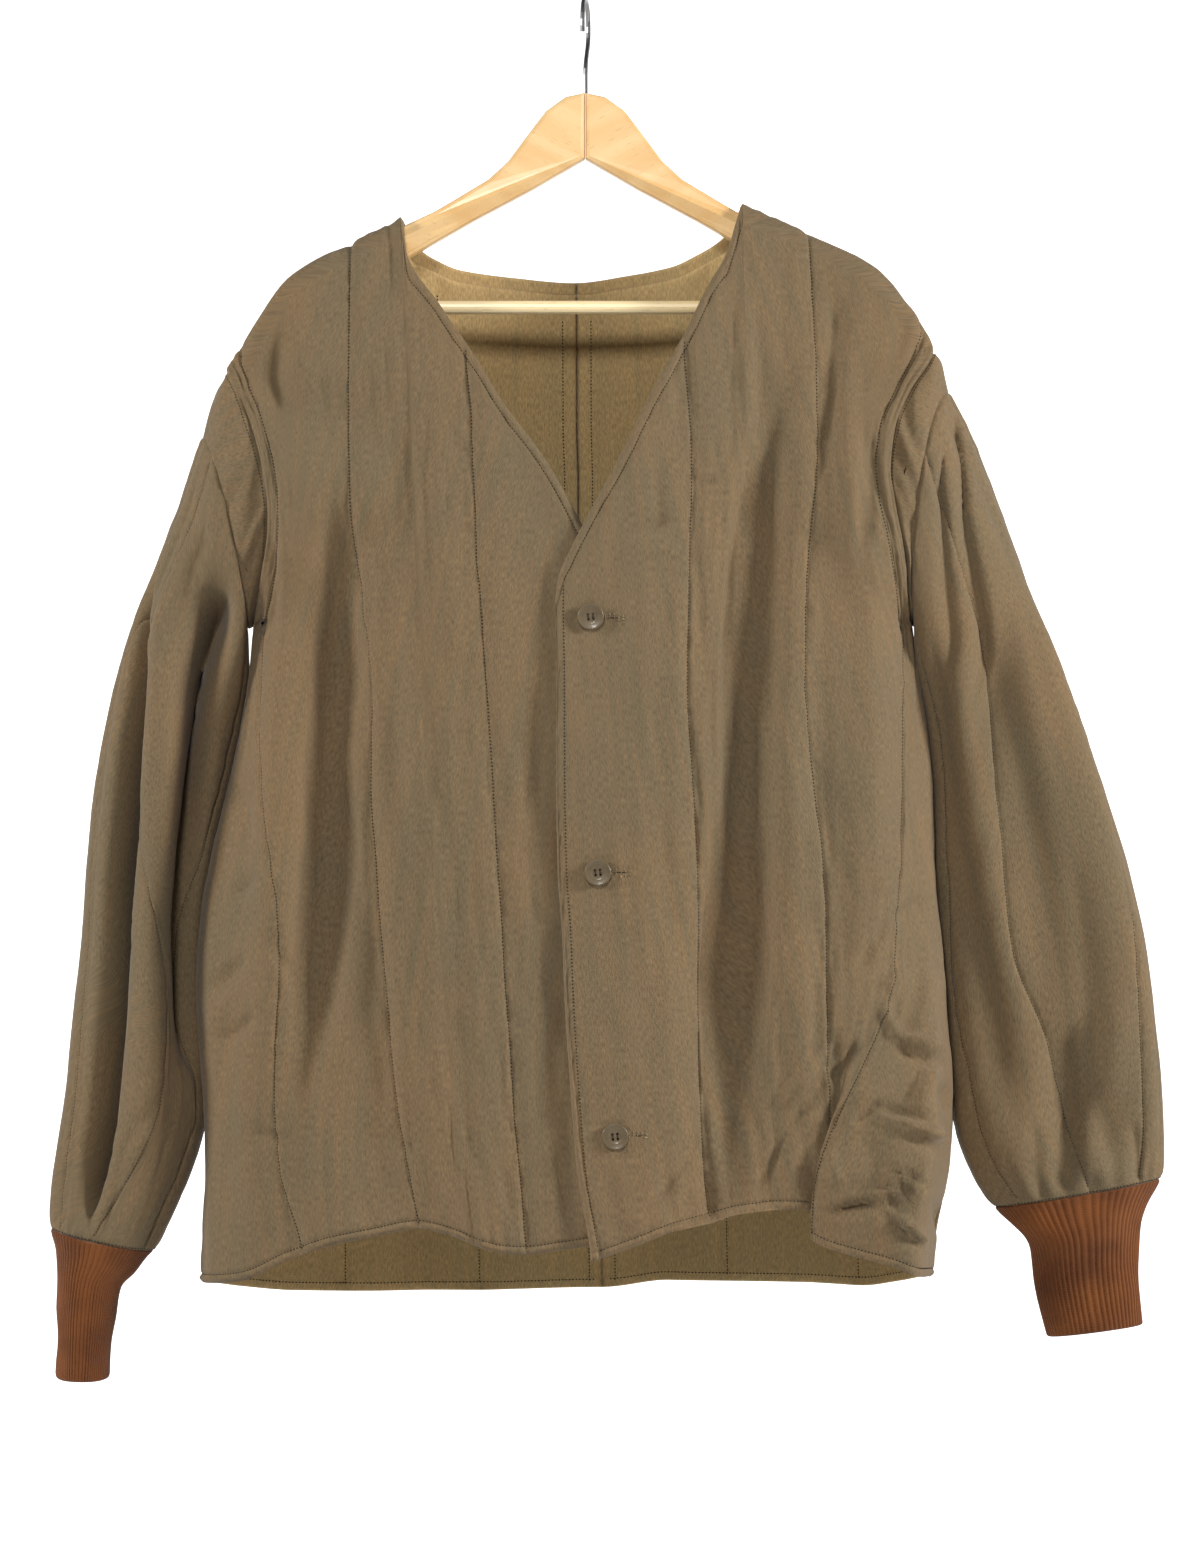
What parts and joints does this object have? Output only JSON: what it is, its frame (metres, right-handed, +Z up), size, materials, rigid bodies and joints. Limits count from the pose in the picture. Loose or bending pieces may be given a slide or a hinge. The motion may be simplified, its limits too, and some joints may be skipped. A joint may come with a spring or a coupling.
{
  "type": "liner jacket on a clothes hanger",
  "caption": "Collarless quilted liner jacket with a V neck, buttoned front, full sleeves and rib knit cuffs, hanging on a wooden clothes hanger with a trouser bar.",
  "frame": {"origin": "the point of the hook's inside that rests on the rail, above the hanger's neck", "axes": "+Z up; -Y is the jacket's front; +X is the wearer's left"},
  "size_m": [0.796, 0.1646, 0.9863],
  "materials": {
    "shell_cloth": "matte padded cloth, brownish olive",
    "lining_cloth": "matte cloth, golden khaki",
    "rib_knit": "rib knit, rust brown",
    "button": "half-gloss olive brown",
    "hanger_wood": "clear satin lacquer on pale beech",
    "wire": "plain bright wire"
  },
  "bodies": {
    "root": {"front_right": "shell_cloth", "front_left": "shell_cloth", "back_right": "shell_cloth", "back_left": "shell_cloth", "back_lining_right": "lining_cloth", "back_lining_left": "lining_cloth", "armhole_band_right": "shell_cloth", "armhole_band_left": "shell_cloth", "sleeve_right": "shell_cloth", "sleeve_left": "shell_cloth", "cuff_right": "rib_knit", "cuff_left": "rib_knit", "button_1": "button", "button_2": "button", "button_3": "button", "hanger_arm_left": "hanger_wood", "hanger_arm_right": "hanger_wood", "trouser_bar": "hanger_wood", "hook": "wire"}
  },
  "joints": []
}
